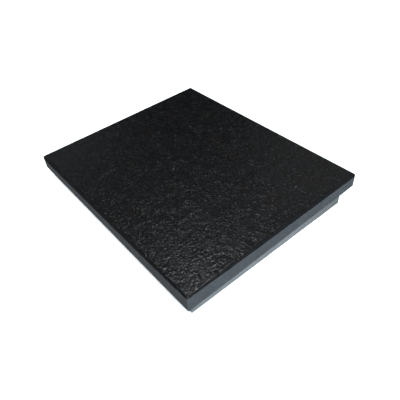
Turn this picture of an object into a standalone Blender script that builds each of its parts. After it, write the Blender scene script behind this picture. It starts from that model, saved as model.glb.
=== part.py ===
"""Granite slab for leather tooling, lying loose on a backing pad.

Two separate pieces, in metres with +Z up. The origin is on the bench, under the middle of the slab.
The slab is the longer one along X. The pad is smaller than the slab and lies a little askew under it,
so that the slab overhangs it by a finger's width along its +Y side, where it is picked up.
"""

import math
from dataclasses import dataclass

import bmesh
import bpy
from mathutils import Vector

# Slab: a sawn plate, 12 x 10 x 3/4 in
SLAB_LENGTH = 0.3048
SLAB_WIDTH = 0.2540
SLAB_THICKNESS = 0.01905
SLAB_TOP_EDGE = 0.0032
SLAB_BOTTOM_EDGE = 0.0005
SLAB_CORNER_EDGE = 0.0010
SLAB_EDGE_SEGMENTS = 5

# Pad: a cut sheet with nearly square corners
PAD_THICKNESS = 0.0140
PAD_CORNER_RADIUS = 0.0012
PAD_CORNER_SEGMENTS = 4
PAD_EDGE = 0.0006
PAD_EDGE_SEGMENTS = 2
PAD_TURN = math.radians(-0.70)

# How far the slab reaches past the pad on each side, at the middle of that side
OVERHANG_FRONT = 0.0024
OVERHANG_BACK = 0.0226
OVERHANG_GRIP = 0.0214
OVERHANG_PLAIN = 0.0074

# What touching pieces keep between them
SEAT_GAP = 0.0003


@dataclass(frozen=True)
class Finish:
    """Colour (linear RGB), roughness and metallic value of one material."""

    name: str
    colour: tuple[float, float, float]
    roughness: float
    metallic: float = 0.0


BLACK_GRANITE = Finish("black_granite", (0.021, 0.022, 0.024), 0.38)
GREY_RUBBER = Finish("grey_rubber", (0.19, 0.205, 0.22), 0.85)


def clear_scene() -> None:
    """Remove every object, and the meshes that they leave behind."""
    for obj in list(bpy.data.objects):
        bpy.data.objects.remove(obj, do_unlink=True)
    for mesh in list(bpy.data.meshes):
        bpy.data.meshes.remove(mesh)


def new_collection(name: str) -> bpy.types.Collection:
    """Make a collection in the scene and return it."""
    collection = bpy.data.collections.new(name)
    bpy.context.scene.collection.children.link(collection)
    return collection


def new_material(finish: Finish) -> bpy.types.Material:
    """Make a Principled material from a finish."""
    material = bpy.data.materials.new(finish.name)
    material.use_nodes = True
    shader = material.node_tree.nodes["Principled BSDF"]
    shader.inputs["Base Color"].default_value = (*finish.colour, 1.0)
    shader.inputs["Roughness"].default_value = finish.roughness
    shader.inputs["Metallic"].default_value = finish.metallic
    return material


def box_mesh(size: Vector) -> bmesh.types.BMesh:
    """Make a box of this size, centred on its own origin."""
    shape = bmesh.new()
    bmesh.ops.create_cube(shape, size=1.0)
    bmesh.ops.scale(shape, vec=size, verts=shape.verts)
    return shape


def side_of(edge: bmesh.types.BMEdge) -> int:
    """Return 1 for an edge around the top, -1 around the bottom and 0 for an upright one."""
    first, second = (vert.co.z for vert in edge.verts)
    if abs(first - second) > 1e-6:
        return 0
    return 1 if first > 0 else -1


def add_piece(
    name: str, shape: bmesh.types.BMesh, finish: Finish, collection: bpy.types.Collection
) -> bpy.types.Object:
    """Turn a shape into a named object with its own material."""
    mesh = bpy.data.meshes.new(name)
    shape.to_mesh(mesh)
    shape.free()
    mesh.materials.append(new_material(finish))
    piece = bpy.data.objects.new(name, mesh)
    collection.objects.link(piece)
    return piece


def shade_round_edges(piece: bpy.types.Object) -> None:
    """Shade the rounded edges smooth and keep the flat faces flat."""
    piece.data.shade_smooth()
    piece.data.set_sharp_from_angle(angle=math.radians(35))


def add_slab(collection: bpy.types.Collection) -> bpy.types.Object:
    """Add the slab: a sawn plate with its top edge eased most."""
    widest = max(SLAB_TOP_EDGE, SLAB_BOTTOM_EDGE, SLAB_CORNER_EDGE)
    easing = {1: SLAB_TOP_EDGE, -1: SLAB_BOTTOM_EDGE, 0: SLAB_CORNER_EDGE}
    shape = box_mesh(Vector((SLAB_LENGTH, SLAB_WIDTH, SLAB_THICKNESS)))
    weight = shape.edges.layers.float.new("bevel_weight_edge")
    for edge in shape.edges:
        edge[weight] = easing[side_of(edge)] / widest
    slab = add_piece("granite_slab", shape, BLACK_GRANITE, collection)
    slab.location.z = PAD_THICKNESS + SEAT_GAP + SLAB_THICKNESS / 2
    eased = slab.modifiers.new("eased_edges", "BEVEL")
    eased.limit_method = "WEIGHT"
    eased.width = widest
    eased.segments = SLAB_EDGE_SEGMENTS
    shade_round_edges(slab)
    return slab


def add_pad(collection: bpy.types.Collection) -> bpy.types.Object:
    """Add the pad: a sheet with slightly rounded corners, sized and placed by how far the slab reaches past it."""
    length = SLAB_LENGTH - OVERHANG_FRONT - OVERHANG_BACK
    width = SLAB_WIDTH - OVERHANG_GRIP - OVERHANG_PLAIN
    shape = box_mesh(Vector((length, width, PAD_THICKNESS)))
    bmesh.ops.bevel(
        shape,
        geom=[edge for edge in shape.edges if side_of(edge) == 0],
        offset=PAD_CORNER_RADIUS,
        segments=PAD_CORNER_SEGMENTS,
        profile=0.5,
        affect="EDGES",
    )
    pad = add_piece("backing_pad", shape, GREY_RUBBER, collection)
    pad.location = (
        (OVERHANG_BACK - OVERHANG_FRONT) / 2,
        (OVERHANG_PLAIN - OVERHANG_GRIP) / 2,
        PAD_THICKNESS / 2,
    )
    pad.rotation_euler.z = PAD_TURN
    cut_edge = pad.modifiers.new("cut_edge", "BEVEL")
    cut_edge.limit_method = "ANGLE"
    cut_edge.angle_limit = math.radians(60)
    cut_edge.width = PAD_EDGE
    cut_edge.segments = PAD_EDGE_SEGMENTS
    shade_round_edges(pad)
    return pad


def main() -> None:
    """Build the slab and its pad."""
    clear_scene()
    collection = new_collection("granite_slab")
    add_pad(collection)
    add_slab(collection)


main()
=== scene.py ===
"""Looks of a granite tooling slab that lies loose on a grey backing pad.

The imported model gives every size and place. The slab and the pad are modelled again here with their real
surfaces, and each rides on the body of the CAD node that it stands for.
"""

from __future__ import annotations

import logging
import math
from collections.abc import Callable
from dataclasses import dataclass, field
from enum import Enum

import bmesh
import bpy
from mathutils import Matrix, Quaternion, Vector

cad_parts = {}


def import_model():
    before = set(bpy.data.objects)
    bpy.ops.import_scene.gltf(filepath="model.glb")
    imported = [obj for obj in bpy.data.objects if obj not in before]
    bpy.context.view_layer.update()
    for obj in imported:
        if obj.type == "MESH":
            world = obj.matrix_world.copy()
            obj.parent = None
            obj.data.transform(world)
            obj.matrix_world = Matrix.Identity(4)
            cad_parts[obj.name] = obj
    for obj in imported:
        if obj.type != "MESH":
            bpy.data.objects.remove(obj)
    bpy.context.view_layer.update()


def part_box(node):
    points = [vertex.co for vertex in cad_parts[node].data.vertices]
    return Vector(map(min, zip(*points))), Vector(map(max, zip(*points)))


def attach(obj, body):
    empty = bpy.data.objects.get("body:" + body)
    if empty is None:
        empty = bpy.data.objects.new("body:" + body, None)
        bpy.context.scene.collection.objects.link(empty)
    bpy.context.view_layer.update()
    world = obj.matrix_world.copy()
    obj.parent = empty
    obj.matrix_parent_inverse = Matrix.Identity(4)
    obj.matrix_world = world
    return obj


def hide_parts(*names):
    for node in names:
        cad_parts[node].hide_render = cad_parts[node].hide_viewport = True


LOG = logging.getLogger("granite_slab")
MILLIMETRE = 0.001

UP = Vector((0.0, 0.0, 1.0))
BACK = Vector((0.0, 1.0, 0.0))

# Most of a smooth noise's values lie in this range.
NOISE_RANGE = (0.3, 0.7)
SMOOTH_RELIEF = [(NOISE_RANGE[0], 0.0), (NOISE_RANGE[1], 1.0)]

Colour = tuple[float, float, float]
Stop = tuple[float, Colour]


class Zone(Enum):
    """The parts of a piece's skin that are worked differently."""

    FACE = "face"
    EDGES = "edges"
    SIDES = "sides"


class Relief(Enum):
    """The kinds of noise that a relief is cut with."""

    ROLLING = "ORIGINAL_PERLIN"
    CELLS = "VORONOI_F1"


# --- working by hand ------------------------------------------------------------------------------


def deselect_all() -> None:
    """Leave edit mode and deselect every object, so that the next operator acts on one piece only."""
    if bpy.context.mode != "OBJECT":
        bpy.ops.object.mode_set(mode="OBJECT")
    bpy.ops.object.select_all(action="DESELECT")


def activate(piece: bpy.types.Object) -> None:
    """Make a piece the only selected object and the active one.

    Args:
        piece: The object to work on.
    """
    deselect_all()
    piece.select_set(True)
    bpy.context.view_layer.objects.active = piece


def apply_place(piece: bpy.types.Object) -> None:
    """Put the object's place, turn and scale into its mesh."""
    activate(piece)
    bpy.ops.object.transform_apply(location=True, rotation=True, scale=True)


def apply_modifier(piece: bpy.types.Object, name: str) -> None:
    """Apply one modifier of a piece."""
    activate(piece)
    bpy.ops.object.modifier_apply(modifier=name)


def select_vertices(piece: bpy.types.Object, wanted: Callable[[Vector], bool]) -> int:
    """Select, in edit mode, the vertices whose places are wanted, and nothing else.

    Args:
        piece: The object that is in edit mode.
        wanted: Says of a place whether the vertex there is selected.

    Returns:
        How many vertices were selected.
    """
    shape = bmesh.from_edit_mesh(piece.data)
    for vertex in shape.verts:
        vertex.select = wanted(vertex.co)
    shape.select_flush_mode()
    bmesh.update_edit_mesh(piece.data)
    return sum(vertex.select for vertex in shape.verts)


def select_edges(piece: bpy.types.Object, wanted: Callable[[Vector, Vector], bool]) -> None:
    """Select, in edit mode, the edges whose two ends are wanted, and nothing else.

    Args:
        piece: The object that is in edit mode.
        wanted: Says of an edge's two ends whether it is selected.
    """
    bpy.ops.mesh.select_mode(type="EDGE")
    bpy.ops.mesh.select_all(action="DESELECT")
    shape = bmesh.from_edit_mesh(piece.data)
    for edge in shape.edges:
        edge.select = wanted(edge.verts[0].co, edge.verts[1].co)
    bmesh.update_edit_mesh(piece.data)


def displace(
    piece: bpy.types.Object,
    name: str,
    relief: Relief,
    grain: float,
    depth: float,
    ramp: list[tuple[float, float]],
    zone: Zone | None = None,
    direction: str = "NORMAL",
    detail: int = 2,
) -> None:
    """Cut a relief into a piece with a Displace modifier, never raising it above where it was.

    Args:
        piece: The object to cut.
        name: The relief's name.
        relief: The kind of noise.
        grain: The size of the noise's features, in metres.
        depth: The deepest cut, in metres.
        ramp: Pairs of noise level and height, both from 0 to 1, where height 1 leaves the surface alone.
        zone: The zone that is cut, or None for the whole piece.
        direction: The modifier's direction.
        detail: The noise's octaves.
    """
    texture = bpy.data.textures.new(name, "CLOUDS")
    texture.noise_basis = relief.value
    texture.noise_scale = grain
    texture.noise_depth = detail
    texture.use_color_ramp = True
    stops = texture.color_ramp.elements
    while len(stops) < len(ramp):
        stops.new(0.5)
    for stop, (level, height) in zip(stops, sorted(ramp)):
        stop.position = level
        stop.color = (height, height, height, 1.0)
    cut = piece.modifiers.new(name, "DISPLACE")
    cut.texture = texture
    cut.texture_coords = "LOCAL"
    cut.direction = direction
    cut.mid_level = 1.0
    cut.strength = depth
    if zone is not None:
        cut.vertex_group = zone.value
    apply_modifier(piece, name)


# --- node work ------------------------------------------------------------------------------------


@dataclass
class Bench:
    """A material's node tree, with short ways to add and join its nodes."""

    material: bpy.types.Material

    def __post_init__(self) -> None:
        """Turn the nodes on and find the shader."""
        self.material.use_nodes = True
        self.tree = self.material.node_tree
        self.shader = self.tree.nodes["Principled BSDF"]
        self.place = self.tree.nodes.new("ShaderNodeTexCoord").outputs["Object"]

    def join(self, value: object, socket: bpy.types.NodeSocket) -> None:
        """Link an output to a socket, or set the socket to a plain value."""
        if isinstance(value, bpy.types.NodeSocket):
            self.tree.links.new(value, socket)
        else:
            socket.default_value = value

    def stretched(self, scale: Colour) -> bpy.types.NodeSocket:
        """Return the piece's coordinates, scaled apart along X, Y and Z."""
        node = self.tree.nodes.new("ShaderNodeMapping")
        self.join(self.place, node.inputs["Vector"])
        node.inputs["Scale"].default_value = scale
        return node.outputs["Vector"]

    def noise(
        self,
        size: float,
        detail: float = 2.0,
        rough: float = 0.5,
        where: bpy.types.NodeSocket | None = None,
    ) -> bpy.types.NodeSocket:
        """Add smooth noise.

        Args:
            size: The size of its features, in metres.
            detail: Its octaves.
            rough: How strong the finer octaves are.
            where: The coordinates, or None for the piece's own.

        Returns:
            The noise's value, from 0 to 1.
        """
        node = self.tree.nodes.new("ShaderNodeTexNoise")
        self.join(where or self.place, node.inputs["Vector"])
        node.inputs["Scale"].default_value = 1.0 / size
        node.inputs["Detail"].default_value = detail
        node.inputs["Roughness"].default_value = rough
        return node.outputs["Fac"]

    def crystals(self, size: float) -> bpy.types.NodeSocket:
        """Add cells with one random value each.

        Args:
            size: A cell's size, in metres.

        Returns:
            The cell's value, from 0 to 1.
        """
        node = self.tree.nodes.new("ShaderNodeTexVoronoi")
        self.join(self.place, node.inputs["Vector"])
        node.inputs["Scale"].default_value = 1.0 / size
        split = self.tree.nodes.new("ShaderNodeSeparateColor")
        self.join(node.outputs["Color"], split.inputs["Color"])
        return split.outputs["Red"]

    def warped(self, size: float, reach: float) -> bpy.types.NodeSocket:
        """Return the piece's coordinates, pushed about by noise.

        Args:
            size: The size of the noise's features, in metres.
            reach: The furthest that a point is pushed, in metres.

        Returns:
            The pushed coordinates.
        """
        node = self.tree.nodes.new("ShaderNodeTexNoise")
        self.join(self.place, node.inputs["Vector"])
        node.inputs["Scale"].default_value = 1.0 / size
        push = self.tree.nodes.new("ShaderNodeVectorMath")
        push.operation = "MULTIPLY_ADD"
        self.join(node.outputs["Color"], push.inputs[0])
        push.inputs[1].default_value = (2 * reach,) * 3
        self.join(self.place, push.inputs[2])
        return push.outputs["Vector"]

    def rims(self, size: float, where: bpy.types.NodeSocket) -> bpy.types.NodeSocket:
        """Add cells, and return how far each point is from its cell's rim, in cell sizes."""
        node = self.tree.nodes.new("ShaderNodeTexVoronoi")
        node.feature = "DISTANCE_TO_EDGE"
        self.join(where, node.inputs["Vector"])
        node.inputs["Scale"].default_value = 1.0 / size
        return node.outputs["Distance"]

    def ramp(
        self,
        value: bpy.types.NodeSocket,
        stops: list[Stop],
        smooth: bool = True,
    ) -> bpy.types.NodeSocket:
        """Turn a value into a colour.

        Args:
            value: The value, from 0 to 1.
            stops: Pairs of level and colour.
            smooth: Whether colours blend, or change at once.

        Returns:
            The colour.
        """
        node = self.tree.nodes.new("ShaderNodeValToRGB")
        self.join(value, node.inputs["Fac"])
        node.color_ramp.interpolation = "LINEAR" if smooth else "CONSTANT"
        elements = node.color_ramp.elements
        while len(elements) < len(stops):
            elements.new(0.5)
        for element, (level, colour) in zip(elements, sorted(stops)):
            element.position = level
            element.color = (*colour, 1.0)
        return node.outputs["Color"]

    def span(
        self,
        value: bpy.types.NodeSocket,
        source: tuple[float, float],
        target: tuple[float, float],
        smooth: bool = False,
    ) -> bpy.types.NodeSocket:
        """Map a value from one range to another, clamped at its ends.

        Args:
            value: The value.
            source: The range that it comes from.
            target: The range that it goes to.
            smooth: Whether it eases in and out.

        Returns:
            The mapped value.
        """
        node = self.tree.nodes.new("ShaderNodeMapRange")
        node.interpolation_type = "SMOOTHSTEP" if smooth else "LINEAR"
        self.join(value, node.inputs["Value"])
        for name, number in zip(("From Min", "From Max", "To Min", "To Max"), (*source, *target)):
            node.inputs[name].default_value = number
        return node.outputs["Result"]

    def sum(self, operation: str, first: object, second: object) -> bpy.types.NodeSocket:
        """Do one sum on two values, and return its result."""
        node = self.tree.nodes.new("ShaderNodeMath")
        node.operation = operation
        self.join(first, node.inputs[0])
        self.join(second, node.inputs[1])
        return node.outputs["Value"]

    def mix(
        self,
        share: object,
        first: object,
        second: object,
        way: str = "MIX",
    ) -> bpy.types.NodeSocket:
        """Mix two colours.

        Args:
            share: How much of the second is in the result.
            first: The first colour.
            second: The second colour.
            way: How they are put together.

        Returns:
            The mixed colour.
        """
        node = self.tree.nodes.new("ShaderNodeMix")
        node.data_type = "RGBA"
        node.blend_type = way
        sockets = {socket.identifier: socket for socket in node.inputs}
        for value, name in ((share, "Factor_Float"), (first, "A_Color"), (second, "B_Color")):
            self.join((*value, 1.0) if isinstance(value, tuple) else value, sockets[name])
        return next(socket for socket in node.outputs if socket.identifier == "Result_Color")

    def blend(self, share: bpy.types.NodeSocket, first: object, second: object) -> bpy.types.NodeSocket:
        """Mix two plain values, and return the result."""
        node = self.tree.nodes.new("ShaderNodeMix")
        sockets = {socket.identifier: socket for socket in node.inputs}
        for value, name in ((share, "Factor_Float"), (first, "A_Float"), (second, "B_Float")):
            self.join(value, sockets[name])
        return next(socket for socket in node.outputs if socket.identifier == "Result_Float")

    def along(self, direction: Vector) -> bpy.types.NodeSocket:
        """Return how far the shaded point lies along a direction on the piece, in metres."""
        node = self.tree.nodes.new("ShaderNodeVectorMath")
        node.operation = "DOT_PRODUCT"
        self.join(self.place, node.inputs[0])
        node.inputs[1].default_value = direction
        return node.outputs["Value"]

    def emboss(self, height: bpy.types.NodeSocket, depth: float) -> None:
        """Give the shader a bump from a height of 0 to 1, and its depth in metres."""
        node = self.tree.nodes.new("ShaderNodeBump")
        node.inputs["Strength"].default_value = 1.0
        node.inputs["Distance"].default_value = depth
        self.join(height, node.inputs["Height"])
        self.join(node.outputs["Normal"], self.shader.inputs["Normal"])


# --- finishes -------------------------------------------------------------------------------------


@dataclass(frozen=True)
class BlackGranite:
    """Black granite with a pebbled, half-gloss face and grey sawn sides.

    The dark face finish turns over the eased top edge and ends there in a ragged line. It reaches least far
    down at the near corner, and further along wrap_grows over the length of wrap_run. Below the face the
    finish turns from gloss to dull between gloss_end and dull_start.
    """

    half: Vector
    face_height: float
    least_wrap: float = 1.25 * MILLIMETRE
    most_wrap: float = 5.3 * MILLIMETRE
    wander: float = 1.6 * MILLIMETRE
    crystal: float = 1.5 * MILLIMETRE
    gloss_end: float = 0.3 * MILLIMETRE
    dull_start: float = 1.2 * MILLIMETRE
    ragged_blur: float = 0.2 * MILLIMETRE
    wrap_grows: tuple[float, float] = (-0.76, 0.65)
    wrap_run: float = 205.0 * MILLIMETRE
    bump: float = 0.14 * MILLIMETRE
    edge_colour: Colour = (0.0068, 0.0070, 0.0075)

    def make(self) -> bpy.types.Material:
        """Build the material.

        Returns:
            The finished material.
        """
        bench = Bench(bpy.data.materials.new("black_granite"))
        face = self._face_share(bench)
        mineral = bench.crystals(self.crystal)
        gloss = bench.span(bench.noise(9.0 * MILLIMETRE, 3.0), (0.35, 0.65), (0.16, 0.24))
        dull = bench.span(mineral, (0.0, 1.0), (0.62, 0.82))
        over_edge = (self.face_height - self.dull_start, self.face_height - self.gloss_end)
        polish = bench.span(bench.along(UP), over_edge, (0.0, 1.0))
        dark = bench.mix(polish, self.edge_colour, self._face_colour(bench, mineral))
        colour = bench.mix(face, self._side_colour(bench, mineral), dark)
        bench.join(colour, bench.shader.inputs["Base Color"])
        bench.join(bench.blend(polish, dull, gloss), bench.shader.inputs["Roughness"])
        bench.join(bench.blend(polish, 0.0, 0.2), bench.shader.inputs["Specular IOR Level"])
        bench.emboss(bench.blend(face, self._saw_marks(bench), self._grain(bench)), self.bump)
        return bench.material

    def _face_share(self, bench: Bench) -> bpy.types.NodeSocket:
        """Return 1 on the face and 0 on the sides, with a ragged line between them."""
        away = Vector((*self.wrap_grows, 0.0))
        near = -abs(away.x) * self.half.x - abs(away.y) * self.half.y
        grows = (near, near + self.wrap_run)
        wrap = bench.span(bench.along(away), grows, (self.least_wrap, self.most_wrap))
        wander = bench.sum("SUBTRACT", bench.noise(7.0 * MILLIMETRE, 3.0, 0.6), 0.5)
        reach = bench.sum("ADD", wrap, bench.sum("MULTIPLY", wander, self.wander))
        height = bench.sum("ADD", bench.along(UP), reach)
        line = (self.face_height - self.ragged_blur, self.face_height + self.ragged_blur)
        return bench.span(height, line, (0.0, 1.0), smooth=True)

    def _face_colour(self, bench: Bench, mineral: bpy.types.NodeSocket) -> bpy.types.NodeSocket:
        """Return the near-black of the face, with its flecks and faint warm and cool clouds."""
        flecks = bench.ramp(mineral, [
            (0.00, (0.0008, 0.0008, 0.0009)),
            (0.35, (0.0022, 0.0022, 0.0024)),
            (0.72, (0.0050, 0.0050, 0.0052)),
            (0.92, (0.0112, 0.0112, 0.0117)),
        ], smooth=False)
        clouds = bench.ramp(bench.noise(34.0 * MILLIMETRE, 3.0, 0.6), [
            (0.30, (0.0024, 0.0027, 0.0034)),
            (0.45, (0.0020, 0.0026, 0.0024)),
            (0.55, (0.0025, 0.0025, 0.0027)),
            (0.70, (0.0034, 0.0026, 0.0024)),
        ])
        return bench.mix(0.35, flecks, clouds)

    def _side_colour(self, bench: Bench, mineral: bpy.types.NodeSocket) -> bpy.types.NodeSocket:
        """Return the cool grey of sawn granite, salted with light and dark crystals."""
        ground = bench.ramp(bench.noise(14.0 * MILLIMETRE, 4.0, 0.6), [
            (0.30, (0.0425, 0.0450, 0.0476)),
            (0.70, (0.0504, 0.0528, 0.0556)),
        ])
        salt = bench.ramp(mineral, [
            (0.00, (0.78, 0.78, 0.79)),
            (0.16, (0.95, 0.95, 0.96)),
            (0.80, (1.04, 1.04, 1.04)),
            (0.95, (1.22, 1.22, 1.22)),
        ], smooth=False)
        return bench.mix(1.0, ground, salt, "MULTIPLY")

    def _grain(self, bench: Bench) -> bpy.types.NodeSocket:
        """Return the height of the face's skin: curling grooves round each pebble, and a fine grain."""
        rim = bench.rims(4.0 * MILLIMETRE, bench.warped(6.0 * MILLIMETRE, 3.6 * MILLIMETRE))
        groove = bench.span(rim, (0.0, 0.24), (-0.85, 0.0), smooth=True)
        wear_and_shade = bench.span(bench.noise(16.0 * MILLIMETRE, 2.0), (0.35, 0.65), (0.45, 1.0))
        grain = bench.span(bench.noise(1.2 * MILLIMETRE, 2.0), NOISE_RANGE, (0.5, 0.62))
        return bench.sum("ADD", bench.sum("MULTIPLY", groove, wear_and_shade), grain)

    def _saw_marks(self, bench: Bench) -> bpy.types.NodeSocket:
        """Return the height of the sides' saw marks, which run level along each side."""
        lines = bench.noise(6.0 * MILLIMETRE, 3.0, 0.7, bench.stretched((0.25, 0.25, 6.0)))
        grain = bench.noise(1.1 * MILLIMETRE, 3.0, 0.6)
        coarse = bench.span(lines, NOISE_RANGE, (0.0, 0.55))
        fine = bench.span(grain, NOISE_RANGE, (0.0, 0.45))
        return bench.sum("ADD", coarse, fine)


@dataclass(frozen=True)
class GreyRubber:
    """Dense grey rubber sheet with fine granules, a knife-cut edge and painted shade towards its back."""

    granule: float = 0.9 * MILLIMETRE
    shade_run: tuple[float, float] = (20.0 * MILLIMETRE, 90.0 * MILLIMETRE)
    bump: float = 0.15 * MILLIMETRE

    def make(self) -> bpy.types.Material:
        """Build the material.

        Returns:
            The finished material.
        """
        bench = Bench(bpy.data.materials.new("grey_rubber"))
        ground = bench.ramp(bench.noise(16.0 * MILLIMETRE, 4.0, 0.6), [
            (0.30, (0.107, 0.109, 0.110)),
            (0.70, (0.123, 0.125, 0.126)),
        ])
        granules = bench.ramp(bench.crystals(self.granule), [
            (0.00, (0.80, 0.80, 0.80)),
            (0.20, (0.97, 0.97, 0.97)),
            (0.85, (1.08, 1.08, 1.08)),
        ], smooth=False)
        # Painted shade: the colour darkens towards the pad's back, in place of light that falls off along
        # it.
        along_side = bench.span(bench.along(BACK), self.shade_run, (0.0, 1.0))
        painted_shade = bench.ramp(along_side, [
            (0.0, (0.95, 0.95, 0.95)),
            (1.0, (0.58, 0.58, 0.58)),
        ])
        # The ground colour with the painted shade laid over it.
        wear_and_shade = bench.mix(1.0, ground, painted_shade, "MULTIPLY")
        bench.join(bench.mix(1.0, wear_and_shade, granules, "MULTIPLY"), bench.shader.inputs["Base Color"])
        dull = bench.span(bench.noise(5.0 * MILLIMETRE, 3.0), NOISE_RANGE, (0.70, 0.88))
        bench.join(dull, bench.shader.inputs["Roughness"])
        bench.shader.inputs["Specular IOR Level"].default_value = 0.25
        lines = bench.noise(4.0 * MILLIMETRE, 2.0, 0.6, bench.stretched((0.2, 0.2, 4.0)))
        grain = bench.noise(0.8 * MILLIMETRE, 3.0, 0.6)
        cut = bench.span(lines, NOISE_RANGE, (0.0, 0.5))
        skin = bench.span(grain, NOISE_RANGE, (0.0, 0.5))
        bench.emboss(bench.sum("ADD", cut, skin), self.bump)
        return bench.material


@dataclass(frozen=True)
class PaleFloor:
    """Matt white studio floor."""

    colour: Colour = (0.90, 0.90, 0.90)

    def make(self) -> bpy.types.Material:
        """Build the material, and return it."""
        bench = Bench(bpy.data.materials.new("pale_floor"))
        bench.join((*self.colour, 1.0), bench.shader.inputs["Base Color"])
        bench.shader.inputs["Roughness"].default_value = 1.0
        bench.shader.inputs["Specular IOR Level"].default_value = 0.0
        return bench.material


# --- pieces ---------------------------------------------------------------------------------------


@dataclass
class GraniteSlab:
    """The slab: a sawn plate with a pebbled face, an eased top edge and small chips along its edges.

    The face's relief goes face_depth down over the edge, and the sides' goes side_depth in. Chips lie
    within top_chips and bottom_chips of the edges. Underneath, the skin is closed at land from the sides.
    """

    low: Vector
    high: Vector
    pitch: float = 1.1 * MILLIMETRE
    top_ease: float = 3.2 * MILLIMETRE
    bottom_ease: float = 0.5 * MILLIMETRE
    corner_ease: float = 1.0 * MILLIMETRE
    top_steps: int = 6
    side_steps: int = 11
    bottom_steps: int = 3
    land: float = 5.0 * MILLIMETRE
    face_depth: float = 0.64 * MILLIMETRE
    side_depth: float = 0.1 * MILLIMETRE
    top_chips: float = 5.12 * MILLIMETRE
    bottom_chips: float = 1.0 * MILLIMETRE
    half: Vector = field(init=False)
    centre: Vector = field(init=False)

    def __post_init__(self) -> None:
        """Work out the slab's middle and half size."""
        self.half = (self.high - self.low) / 2
        self.centre = (self.high + self.low) / 2

    def build(self) -> bpy.types.Object:
        """Model the slab.

        Returns:
            The finished piece, with its place in its mesh.
        """
        slab = self._face_grid()
        self._fold_down(slab)
        self._ease_corners(slab)
        self._mark_zones(slab)
        self._cut_relief(slab)
        activate(slab)
        bpy.ops.object.shade_smooth_by_angle(angle=math.radians(40))
        return slab

    def _face_grid(self) -> bpy.types.Object:
        """Return a fine grid that covers the flat of the face."""
        flat = 2 * (self.half.xy - Vector((self.top_ease, self.top_ease)))
        deselect_all()
        bpy.ops.mesh.primitive_grid_add(
            x_subdivisions=round(flat.x / self.pitch),
            y_subdivisions=round(flat.y / self.pitch),
            size=1.0,
            location=(self.centre.x, self.centre.y, self.high.z),
        )
        slab = bpy.context.active_object
        slab.name = "granite_slab_stone"
        slab.scale = (flat.x, flat.y, 1.0)
        apply_place(slab)
        return slab

    def _profile(self) -> list[tuple[float, float]]:
        """Return the slab's edge from its face to its underside, as pairs of inset and height."""
        def arc(radius: float, steps: int) -> list[tuple[float, float]]:
            turns = [math.pi / 2 * step / steps for step in range(steps + 1)]
            return [(radius * (1 - math.sin(turn)), radius * (1 - math.cos(turn))) for turn in turns]

        over = [(inset, self.high.z - drop) for inset, drop in arc(self.top_ease, self.top_steps)]
        lower = arc(self.bottom_ease, self.bottom_steps)
        under = [(inset, self.low.z + drop) for inset, drop in lower]
        first, last = over[-1][1], under[-1][1]
        rise = (last - first) / self.side_steps
        side = [(0.0, first + rise * step) for step in range(1, self.side_steps)]
        return [*over[1:], *side, *reversed(under), (self.land, self.low.z)]

    def _fold_down(self, slab: bpy.types.Object) -> None:
        """Extrude the grid's rim ring by ring, over the edge, down the sides and under, and close it."""
        bpy.ops.object.mode_set(mode="EDIT")
        bpy.ops.mesh.select_mode(type="EDGE")
        bpy.ops.mesh.select_all(action="SELECT")
        bpy.ops.mesh.region_to_loop()
        inset, height = self.top_ease, self.high.z
        for next_inset, next_height in self._profile():
            bpy.ops.mesh.extrude_region()
            grow = [(side - next_inset) / (side - inset) for side in self.half.xy]
            bpy.ops.transform.resize(value=(*grow, 1.0), center_override=self.centre)
            bpy.ops.transform.translate(value=(0.0, 0.0, next_height - height))
            inset, height = next_inset, next_height
        bpy.ops.mesh.edge_face_add()
        bpy.ops.mesh.select_all(action="SELECT")
        bpy.ops.mesh.normals_make_consistent(inside=False)
        bpy.ops.object.mode_set(mode="OBJECT")

    def _ease_corners(self, slab: bpy.types.Object) -> None:
        """Pull the upright corners in, so that they are rounded."""
        close = 0.05 * MILLIMETRE

        def at_corner(place: Vector) -> bool:
            inset_x = self.half.x - abs(place.x - self.centre.x)
            inset_y = self.half.y - abs(place.y - self.centre.y)
            return abs(inset_x - inset_y) < close and max(inset_x, inset_y) < self.top_ease - close

        bpy.ops.object.mode_set(mode="EDIT")
        bpy.ops.mesh.select_mode(type="VERT")
        found = select_vertices(slab, at_corner)
        pull = self.corner_ease * (1 - math.sqrt(0.5))
        shrink = [(side - pull) / side for side in self.half.xy]
        bpy.ops.transform.resize(value=(*shrink, 1.0), center_override=self.centre)
        bpy.ops.object.mode_set(mode="OBJECT")
        LOG.info("eased %d corner points", found)

    def _mark_zones(self, slab: bpy.types.Object) -> None:
        """Give each zone a vertex group. The face's and the sides' are whole, and the edges' fades out."""
        groups = {zone: slab.vertex_groups.new(name=zone.value) for zone in Zone}
        for vertex in slab.data.vertices:
            away = vertex.co - self.centre
            inset = min(self.half.x - abs(away.x), self.half.y - abs(away.y))
            depth = self.high.z - vertex.co.z
            rise = vertex.co.z - self.low.z
            upper = 1.0 - math.hypot(inset, depth) / self.top_chips
            lower = 1.0 - math.hypot(inset, rise) / self.bottom_chips
            weights = {
                Zone.FACE: float(depth < self.face_depth),
                Zone.SIDES: float(inset < self.side_depth and rise > self.bottom_ease),
                Zone.EDGES: max(upper, lower),
            }
            for zone, weight in weights.items():
                if weight > 0.0:
                    groups[zone].add([vertex.index], weight, "REPLACE")

    def _cut_relief(self, slab: bpy.types.Object) -> None:
        """Cut the face's pebbles, the sides' unevenness and the chips along the edges."""
        displace(slab, "pebbles", Relief.CELLS, 5.2 * MILLIMETRE, 0.15 * MILLIMETRE,
                 [(0.15, 1.0), (0.40, 0.8), (0.62, 0.3), (0.80, 0.0)], Zone.FACE, "Z", detail=1)
        displace(slab, "waves", Relief.ROLLING, 28.0 * MILLIMETRE, 0.12 * MILLIMETRE,
                 SMOOTH_RELIEF, Zone.FACE, "Z")
        displace(slab, "saw_waves", Relief.ROLLING, 9.0 * MILLIMETRE, 0.10 * MILLIMETRE,
                 SMOOTH_RELIEF, Zone.SIDES)
        displace(slab, "chips", Relief.CELLS, 5.0 * MILLIMETRE, 0.9 * MILLIMETRE,
                 [(0.10, 0.0), (0.24, 1.0)], Zone.EDGES, detail=1)


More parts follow.
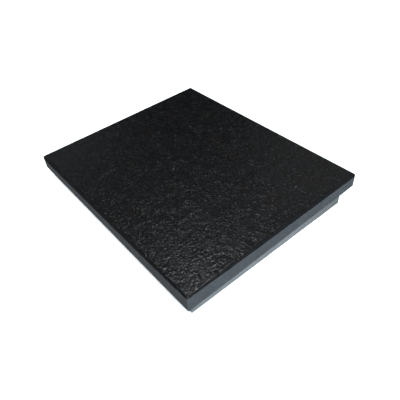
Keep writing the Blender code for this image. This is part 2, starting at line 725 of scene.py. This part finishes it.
@dataclass
class BackingPad:
    """The pad: a rubber sheet with nearly square corners, which lies a little askew under the slab."""

    low: Vector
    high: Vector
    turn: float = math.radians(-0.70)
    corner: float = 1.2 * MILLIMETRE
    corner_steps: int = 4
    voxel: float = 1.3 * MILLIMETRE

    def build(self) -> bpy.types.Object:
        """Model the pad.

        Returns:
            The finished piece, with its place in its mesh.
        """
        length, width = self._sides()
        middle = (self.low + self.high) / 2
        size = Vector((length, width, self.high.z - self.low.z))
        deselect_all()
        bpy.ops.mesh.primitive_cube_add(size=1.0)
        pad = bpy.context.active_object
        pad.name = "backing_pad_rubber"
        pad.scale = size
        apply_place(pad)
        self._round_corners(pad)
        self._soften(pad, size)
        pad.location = middle
        pad.rotation_euler.z = self.turn
        apply_place(pad)
        return pad

    def _sides(self) -> tuple[float, float]:
        """Work out the turned sheet's length and width from the box around it.

        Returns:
            The length and the width, in metres.
        """
        across = (self.high - self.low).xy - 2 * Vector((self.corner, self.corner))
        cosine, sine = math.cos(self.turn), abs(math.sin(self.turn))
        scale = cosine**2 - sine**2
        length = (across.x * cosine - across.y * sine) / scale
        width = (across.y * cosine - across.x * sine) / scale
        return length + 2 * self.corner, width + 2 * self.corner

    def _round_corners(self, pad: bpy.types.Object) -> None:
        """Round the sheet's four upright corners."""
        bpy.ops.object.mode_set(mode="EDIT")
        select_edges(pad, lambda first, second: abs(first.z - second.z) > self.corner)
        bpy.ops.mesh.bevel(offset=self.corner, segments=self.corner_steps, affect="EDGES")
        bpy.ops.object.mode_set(mode="OBJECT")

    def _soften(self, pad: bpy.types.Object, size: Vector) -> None:
        """Turn the sheet into a fine skin with soft edges and an uneven, knife-cut side."""
        skin = pad.modifiers.new("skin", "REMESH")
        skin.mode = "VOXEL"
        skin.voxel_size = self.voxel
        skin.use_smooth_shade = True
        apply_modifier(pad, skin.name)
        sides = pad.vertex_groups.new(name=Zone.SIDES.value)
        reach = size.xy / 2 - Vector((self.voxel, self.voxel))
        outer = [
            vertex.index
            for vertex in pad.data.vertices
            if abs(vertex.co.x) > reach.x or abs(vertex.co.y) > reach.y
        ]
        sides.add(outer, 1.0, "REPLACE")
        displace(pad, "knife_cut", Relief.ROLLING, 11.0 * MILLIMETRE, 0.25 * MILLIMETRE, SMOOTH_RELIEF,
                 Zone.SIDES)
        displace(pad, "skin_waves", Relief.ROLLING, 30.0 * MILLIMETRE, 0.10 * MILLIMETRE, SMOOTH_RELIEF)
        pad.scale.z = size.z / pad.dimensions.z
        apply_place(pad)


# --- studio ---------------------------------------------------------------------------------------


@dataclass(frozen=True)
class SoftLight:
    """A soft studio light, far off, with its direction and its spread in degrees."""

    name: str
    azimuth: float
    elevation: float
    spread: float
    strength: float
    colour: Colour = (1.0, 1.0, 1.0)

    def place(self, centre: Vector) -> None:
        """Set the light up so that it faces a point.

        Args:
            centre: The point that it lights.
        """
        light = bpy.data.lights.new(self.name, "SUN")
        light.energy = self.strength
        light.color = self.colour
        light.angle = math.radians(self.spread)
        lamp = bpy.data.objects.new(self.name, light)
        back = outward(self.azimuth, self.elevation)
        lamp.location = centre + back
        lamp.rotation_mode = "QUATERNION"
        lamp.rotation_quaternion = (-back).to_track_quat("-Z", "Y")
        bpy.context.scene.collection.objects.link(lamp)


def outward(azimuth: float, elevation: float) -> Vector:
    """Return the direction from the slab to a viewer at an azimuth and an elevation, in degrees.

    Azimuth 0 looks along +Y, and 90 along -X.
    """
    turn, rise = math.radians(azimuth), math.radians(elevation)
    return Vector((math.sin(turn) * math.cos(rise), -math.cos(turn) * math.cos(rise), math.sin(rise)))


@dataclass
class Studio:
    """The floor, the lights and the camera."""

    face: float
    floor_side: float = 8.0
    sky_seen: float = 1.0
    aim: tuple[float, float] = (0.0599, -0.0330)
    azimuth: float = 53.226
    elevation: float = 42.817
    roll: float = -5.149
    distance: float = 0.4726
    lens: float = 37.84
    sky: tuple[tuple[float, float], ...] = (
        (0.0, 0.36),
        (2.0, 0.36),
        (9.0, 0.01),
        (33.0, 0.01),
        (42.0, 0.25),
        (60.0, 0.25),
    )
    lights: tuple[SoftLight, ...] = (
        SoftLight("key", 60.0, 60.0, 20.0, 4.6),
        SoftLight("window", 88.0, 32.0, 30.0, 3.5, (0.60, 0.84, 1.0)),
        SoftLight("glint", 233.0, 65.0, 12.0, 0.77, (0.93, 0.98, 1.0)),
        SoftLight("left_glow", 260.0, 25.0, 26.0, 0.050, (0.88, 0.94, 1.0)),
        SoftLight("right_glow", 200.0, 36.0, 38.0, 0.105),
    )

    def build(self) -> None:
        """Set up the floor, the sky, the lights and the camera."""
        self._lay_floor()
        self._paint_sky()
        for light in self.lights:
            light.place(Vector((0.0, 0.0, self.face)))
        self._place_camera()
        bpy.context.scene.view_settings.view_transform = "Standard"

    def _lay_floor(self) -> None:
        """Lay the floor that the pad rests on."""
        deselect_all()
        bpy.ops.mesh.primitive_plane_add(size=self.floor_side)
        floor = bpy.context.active_object
        floor.name = "studio_floor"
        floor.data.materials.append(PaleFloor().make())

    def _paint_sky(self) -> None:
        """Make the sky white to look at, and as a light dark between a low band and the zenith."""
        world = bpy.data.worlds.new("studio_sky")
        world.use_nodes = True
        tree = world.node_tree
        tree.nodes.clear()
        split = tree.nodes.new("ShaderNodeSeparateXYZ")
        tree.links.new(tree.nodes.new("ShaderNodeTexCoord").outputs["Generated"], split.inputs["Vector"])
        brightest = max(strength for _, strength in self.sky)
        ramp = tree.nodes.new("ShaderNodeValToRGB")
        stops = ramp.color_ramp.elements
        while len(stops) < len(self.sky):
            stops.new(0.5)
        for stop, (elevation, strength) in zip(stops, self.sky):
            stop.position = math.sin(math.radians(elevation))
            stop.color = (*[strength / brightest] * 3, 1.0)
        tree.links.new(split.outputs["Z"], ramp.inputs["Fac"])
        lit = tree.nodes.new("ShaderNodeBackground")
        tree.links.new(ramp.outputs["Color"], lit.inputs["Color"])
        lit.inputs["Strength"].default_value = brightest
        seen = tree.nodes.new("ShaderNodeBackground")
        seen.inputs["Color"].default_value = (1.0, 1.0, 1.0, 1.0)
        seen.inputs["Strength"].default_value = self.sky_seen
        blend = tree.nodes.new("ShaderNodeMixShader")
        out = tree.nodes.new("ShaderNodeOutputWorld")
        tree.links.new(tree.nodes.new("ShaderNodeLightPath").outputs["Is Camera Ray"], blend.inputs[0])
        tree.links.new(lit.outputs["Background"], blend.inputs[1])
        tree.links.new(seen.outputs["Background"], blend.inputs[2])
        tree.links.new(blend.outputs["Shader"], out.inputs["Surface"])
        bpy.context.scene.world = world

    def _place_camera(self) -> None:
        """Point the camera at the slab's face, tipped a little to one side."""
        camera = bpy.data.objects.new("camera", bpy.data.cameras.new("camera"))
        camera.data.lens = self.lens
        camera.data.sensor_width = 36.0
        camera.data.clip_start = 0.01
        camera.data.dof.use_dof = False
        back = outward(self.azimuth, self.elevation)
        camera.location = Vector((*self.aim, self.face)) + back * self.distance
        camera.rotation_mode = "QUATERNION"
        level = (-back).to_track_quat("-Z", "Y")
        camera.rotation_quaternion = level @ Quaternion((0.0, 0.0, 1.0), math.radians(self.roll))
        bpy.context.scene.collection.objects.link(camera)
        bpy.context.scene.camera = camera


# --- assembly -------------------------------------------------------------------------------------


def dress(
    piece: bpy.types.Object,
    finish: BlackGranite | GreyRubber,
    node: str,
    body: str,
) -> None:
    """Give a piece its finish, and have it stand for its CAD node and ride on that node's body.

    Args:
        piece: The new piece.
        finish: What it is made of.
        node: The CAD node that it stands for.
        body: The body that it moves with.
    """
    piece.data.materials.clear()
    piece.data.materials.append(finish.make())
    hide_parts(node)
    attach(piece, body)
    LOG.info("%s: %d faces, on %s", piece.name, len(piece.data.polygons), body)


def main() -> None:
    """Load the frame, and build the pieces and the studio."""
    logging.basicConfig(level=logging.INFO, format="%(name)s: %(message)s")
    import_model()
    slab_low, slab_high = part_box("granite_slab")
    pad_low, pad_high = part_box("backing_pad")
    pad = BackingPad(pad_low, pad_high).build()
    dress(pad, GreyRubber(), "backing_pad", "pad")
    slab = GraniteSlab(slab_low, slab_high).build()
    granite = BlackGranite((slab_high - slab_low) / 2, slab_high.z)
    dress(slab, granite, "granite_slab", "slab")
    Studio(slab_high.z).build()
    deselect_all()


if __name__ == "__main__":
    main()
